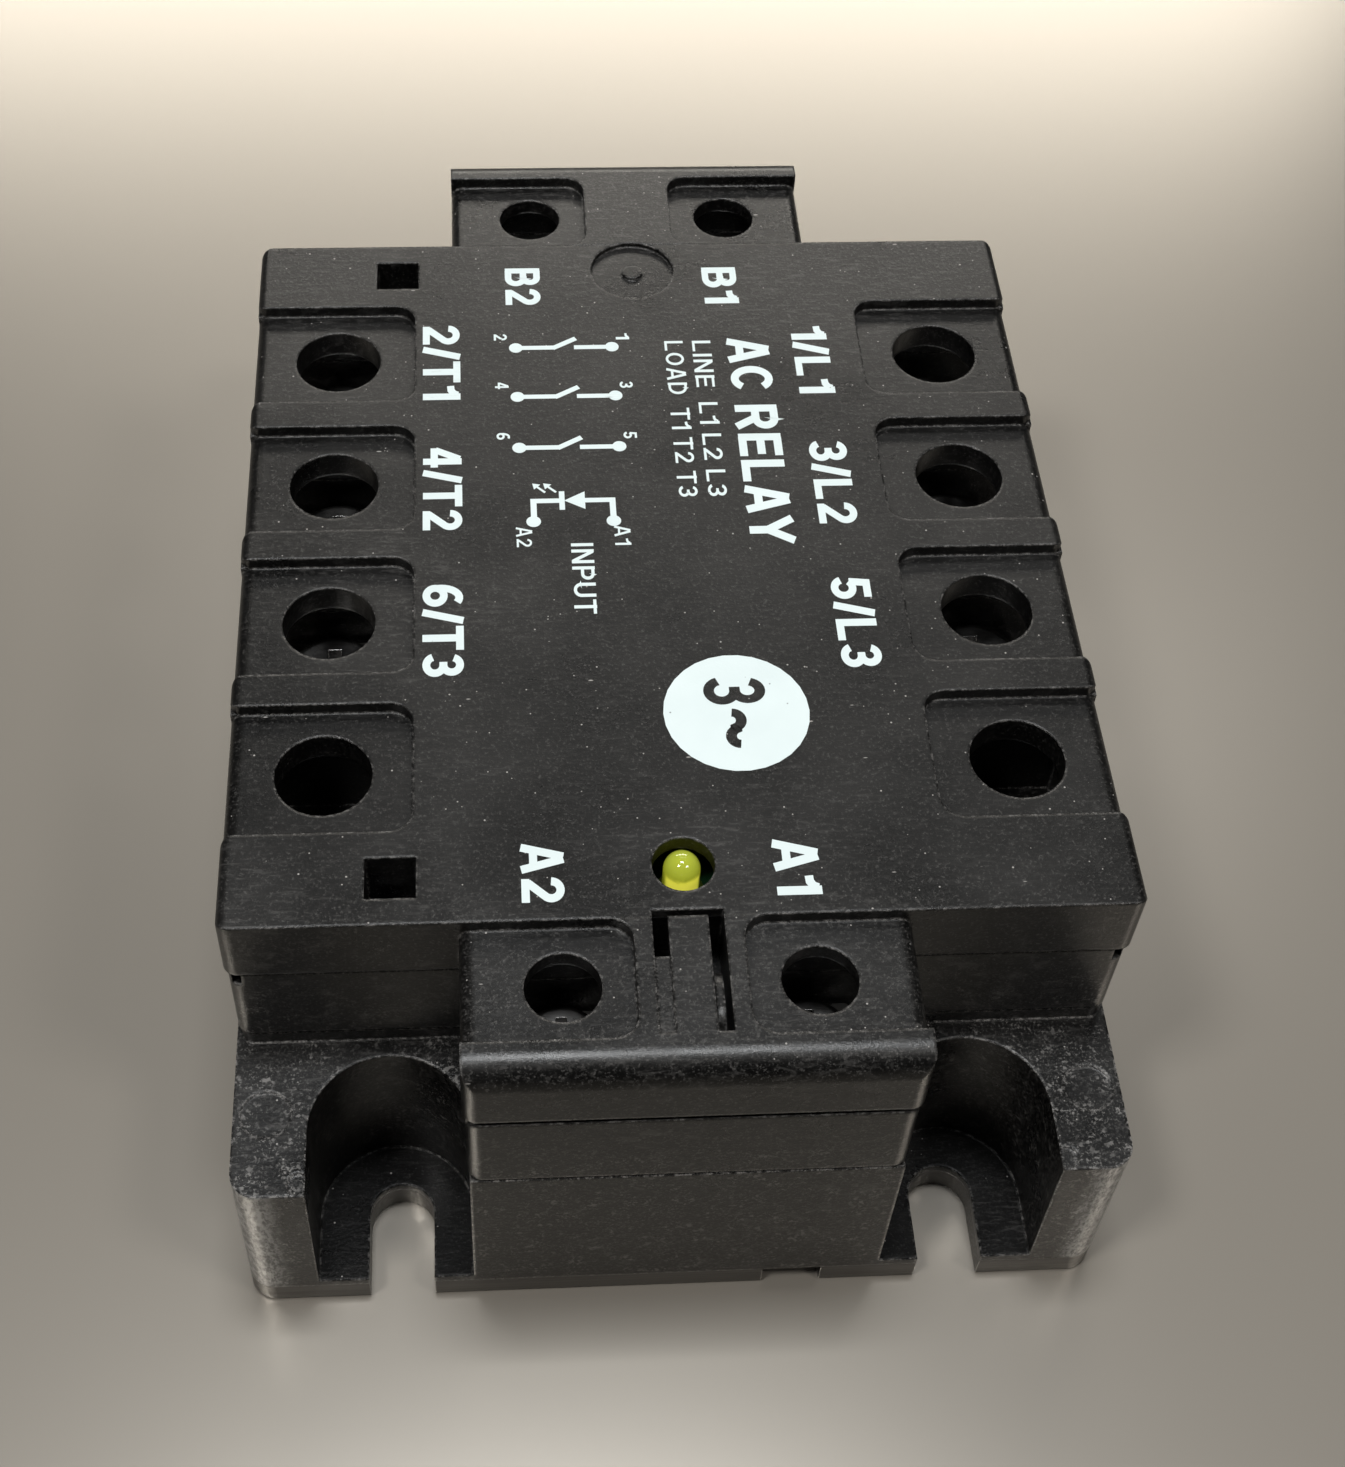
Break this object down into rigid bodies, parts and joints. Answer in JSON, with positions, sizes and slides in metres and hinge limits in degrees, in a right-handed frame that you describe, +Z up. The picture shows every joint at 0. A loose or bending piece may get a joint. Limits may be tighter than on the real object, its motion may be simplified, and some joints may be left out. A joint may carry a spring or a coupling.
{
  "type": "industrial control relay",
  "caption": "Panel-mount solid-state relay: black stacked housing on a metal plate, with recessed screw-clamp terminals, slotted mounting lugs and a status lamp.",
  "frame": {"origin": "centre of the mounting face, under the metal plate", "axes": "+Z up out of the labelled top; +Y from the A1/A2 control end to the B1/B2 end; +X from the T side to the L side"},
  "size_m": [0.074, 0.108, 0.038],
  "materials": {
    "housing_plastic": "fine-grained black glass-filled moulding, satin",
    "plate_metal": "dull milled plate with scratches",
    "zinc_steel": "zinc plated, satin",
    "terminal_brass": "plain rolled strip",
    "substrate_ceramic": "white unglazed",
    "chip_black": "moulded epoxy",
    "tinned_wire": "bright tinned",
    "board_laminate": "green solder resist",
    "lamp_lens": "translucent yellow-green, tinted",
    "capacitor_can": "sleeved can"
  },
  "bodies": {
    "housing": {"assembly_screws": "zinc_steel", "base_housing": "housing_plastic", "base_plate": "plate_metal", "ceramic_substrate_1": "substrate_ceramic", "ceramic_substrate_2": "substrate_ceramic", "ceramic_substrate_3": "substrate_ceramic", "circuit_board": "board_laminate", "control_bar_A1": "terminal_brass", "control_bar_A2": "terminal_brass", "control_bar_B1": "terminal_brass", "control_bar_B2": "terminal_brass", "control_chip": "chip_black", "cover": "housing_plastic", "gate_pin_1_line": "tinned_wire", "gate_pin_1_load": "tinned_wire", "gate_pin_2_line": "tinned_wire", "gate_pin_2_load": "tinned_wire", "gate_pin_3_line": "tinned_wire", "gate_pin_3_load": "tinned_wire", "led_lead_left": "tinned_wire", "led_lead_right": "tinned_wire", "led_lens": "lamp_lens", "optocoupler_1": "chip_black", "optocoupler_2": "chip_black", "optocoupler_3": "chip_black", "power_bar_L1": "terminal_brass", "power_bar_L2": "terminal_brass", "power_bar_L3": "terminal_brass", "power_bar_T1": "terminal_brass", "power_bar_T2": "terminal_brass", "power_bar_T3": "terminal_brass", "smoothing_capacitor": "capacitor_can", "terminal_housing": "housing_plastic", "thyristor_1_line": "chip_black", "thyristor_1_load": "chip_black", "thyristor_2_line": "chip_black", "thyristor_2_load": "chip_black", "thyristor_3_line": "chip_black", "thyristor_3_load": "chip_black"},
    "clamp_T1": {"power_clamp_T1": "zinc_steel"},
    "screw_T1": {"power_screw_T1": "zinc_steel"},
    "clamp_T2": {"power_clamp_T2": "zinc_steel"},
    "screw_T2": {"power_screw_T2": "zinc_steel"},
    "clamp_T3": {"power_clamp_T3": "zinc_steel"},
    "screw_T3": {"power_screw_T3": "zinc_steel"},
    "clamp_L1": {"power_clamp_L1": "zinc_steel"},
    "screw_L1": {"power_screw_L1": "zinc_steel"},
    "clamp_L2": {"power_clamp_L2": "zinc_steel"},
    "screw_L2": {"power_screw_L2": "zinc_steel"},
    "clamp_L3": {"power_clamp_L3": "zinc_steel"},
    "screw_L3": {"power_screw_L3": "zinc_steel"},
    "clamp_A1": {"control_clamp_A1": "zinc_steel"},
    "screw_A1": {"control_screw_A1": "zinc_steel"},
    "clamp_A2": {"control_clamp_A2": "zinc_steel"},
    "screw_A2": {"control_screw_A2": "zinc_steel"},
    "clamp_B1": {"control_clamp_B1": "zinc_steel"},
    "screw_B1": {"control_screw_B1": "zinc_steel"},
    "clamp_B2": {"control_clamp_B2": "zinc_steel"},
    "screw_B2": {"control_screw_B2": "zinc_steel"}
  },
  "joints": [
    {"name": "clamp_T1_lift", "type": "slide", "parent": "housing", "child": "clamp_T1", "axis": [0, 0, 1], "range_m": [0, 0.002]},
    {"name": "screw_T1_turn", "type": "hinge", "parent": "clamp_T1", "child": "screw_T1", "pos_m": [-0.029, 0.02475, 0.0275], "axis": [0, 0, 1], "range_deg": [0, 900]},
    {"name": "clamp_T2_lift", "type": "slide", "parent": "housing", "child": "clamp_T2", "axis": [0, 0, 1], "range_m": [0, 0.002]},
    {"name": "screw_T2_turn", "type": "hinge", "parent": "clamp_T2", "child": "screw_T2", "pos_m": [-0.029, 0.00825, 0.0275], "axis": [0, 0, 1], "range_deg": [0, 900]},
    {"name": "clamp_T3_lift", "type": "slide", "parent": "housing", "child": "clamp_T3", "axis": [0, 0, 1], "range_m": [0, 0.002]},
    {"name": "screw_T3_turn", "type": "hinge", "parent": "clamp_T3", "child": "screw_T3", "pos_m": [-0.029, -0.00825, 0.0275], "axis": [0, 0, 1], "range_deg": [0, 900]},
    {"name": "clamp_L1_lift", "type": "slide", "parent": "housing", "child": "clamp_L1", "axis": [0, 0, 1], "range_m": [0, 0.002]},
    {"name": "screw_L1_turn", "type": "hinge", "parent": "clamp_L1", "child": "screw_L1", "pos_m": [0.029, 0.02475, 0.0275], "axis": [0, 0, 1], "range_deg": [0, 900]},
    {"name": "clamp_L2_lift", "type": "slide", "parent": "housing", "child": "clamp_L2", "axis": [0, 0, 1], "range_m": [0, 0.002]},
    {"name": "screw_L2_turn", "type": "hinge", "parent": "clamp_L2", "child": "screw_L2", "pos_m": [0.029, 0.00825, 0.0275], "axis": [0, 0, 1], "range_deg": [0, 900]},
    {"name": "clamp_L3_lift", "type": "slide", "parent": "housing", "child": "clamp_L3", "axis": [0, 0, 1], "range_m": [0, 0.002]},
    {"name": "screw_L3_turn", "type": "hinge", "parent": "clamp_L3", "child": "screw_L3", "pos_m": [0.029, -0.00825, 0.0275], "axis": [0, 0, 1], "range_deg": [0, 900]},
    {"name": "clamp_A1_lift", "type": "slide", "parent": "housing", "child": "clamp_A1", "axis": [0, 0, 1], "range_m": [0, 0.002]},
    {"name": "screw_A1_turn", "type": "hinge", "parent": "clamp_A1", "child": "screw_A1", "pos_m": [0.01, -0.0456, 0.0268], "axis": [0, 0, 1], "range_deg": [0, 1200]},
    {"name": "clamp_A2_lift", "type": "slide", "parent": "housing", "child": "clamp_A2", "axis": [0, 0, 1], "range_m": [0, 0.002]},
    {"name": "screw_A2_turn", "type": "hinge", "parent": "clamp_A2", "child": "screw_A2", "pos_m": [-0.01, -0.0456, 0.0268], "axis": [0, 0, 1], "range_deg": [0, 1200]},
    {"name": "clamp_B1_lift", "type": "slide", "parent": "housing", "child": "clamp_B1", "axis": [0, 0, 1], "range_m": [0, 0.002]},
    {"name": "screw_B1_turn", "type": "hinge", "parent": "clamp_B1", "child": "screw_B1", "pos_m": [0.01, 0.0456, 0.0268], "axis": [0, 0, 1], "range_deg": [0, 1200]},
    {"name": "clamp_B2_lift", "type": "slide", "parent": "housing", "child": "clamp_B2", "axis": [0, 0, 1], "range_m": [0, 0.002]},
    {"name": "screw_B2_turn", "type": "hinge", "parent": "clamp_B2", "child": "screw_B2", "pos_m": [-0.01, 0.0456, 0.0268], "axis": [0, 0, 1], "range_deg": [0, 1200]}
  ],
  "couplings": [
    {"joint": "screw_T1_turn", "follows": "clamp_T1_lift", "rad_per_m": 7854},
    {"joint": "screw_T2_turn", "follows": "clamp_T2_lift", "rad_per_m": 7854},
    {"joint": "screw_T3_turn", "follows": "clamp_T3_lift", "rad_per_m": 7854},
    {"joint": "screw_L1_turn", "follows": "clamp_L1_lift", "rad_per_m": 7854},
    {"joint": "screw_L2_turn", "follows": "clamp_L2_lift", "rad_per_m": 7854},
    {"joint": "screw_L3_turn", "follows": "clamp_L3_lift", "rad_per_m": 7854},
    {"joint": "screw_A1_turn", "follows": "clamp_A1_lift", "rad_per_m": 10472},
    {"joint": "screw_A2_turn", "follows": "clamp_A2_lift", "rad_per_m": 10472},
    {"joint": "screw_B1_turn", "follows": "clamp_B1_lift", "rad_per_m": 10472},
    {"joint": "screw_B2_turn", "follows": "clamp_B2_lift", "rad_per_m": 10472}
  ]
}
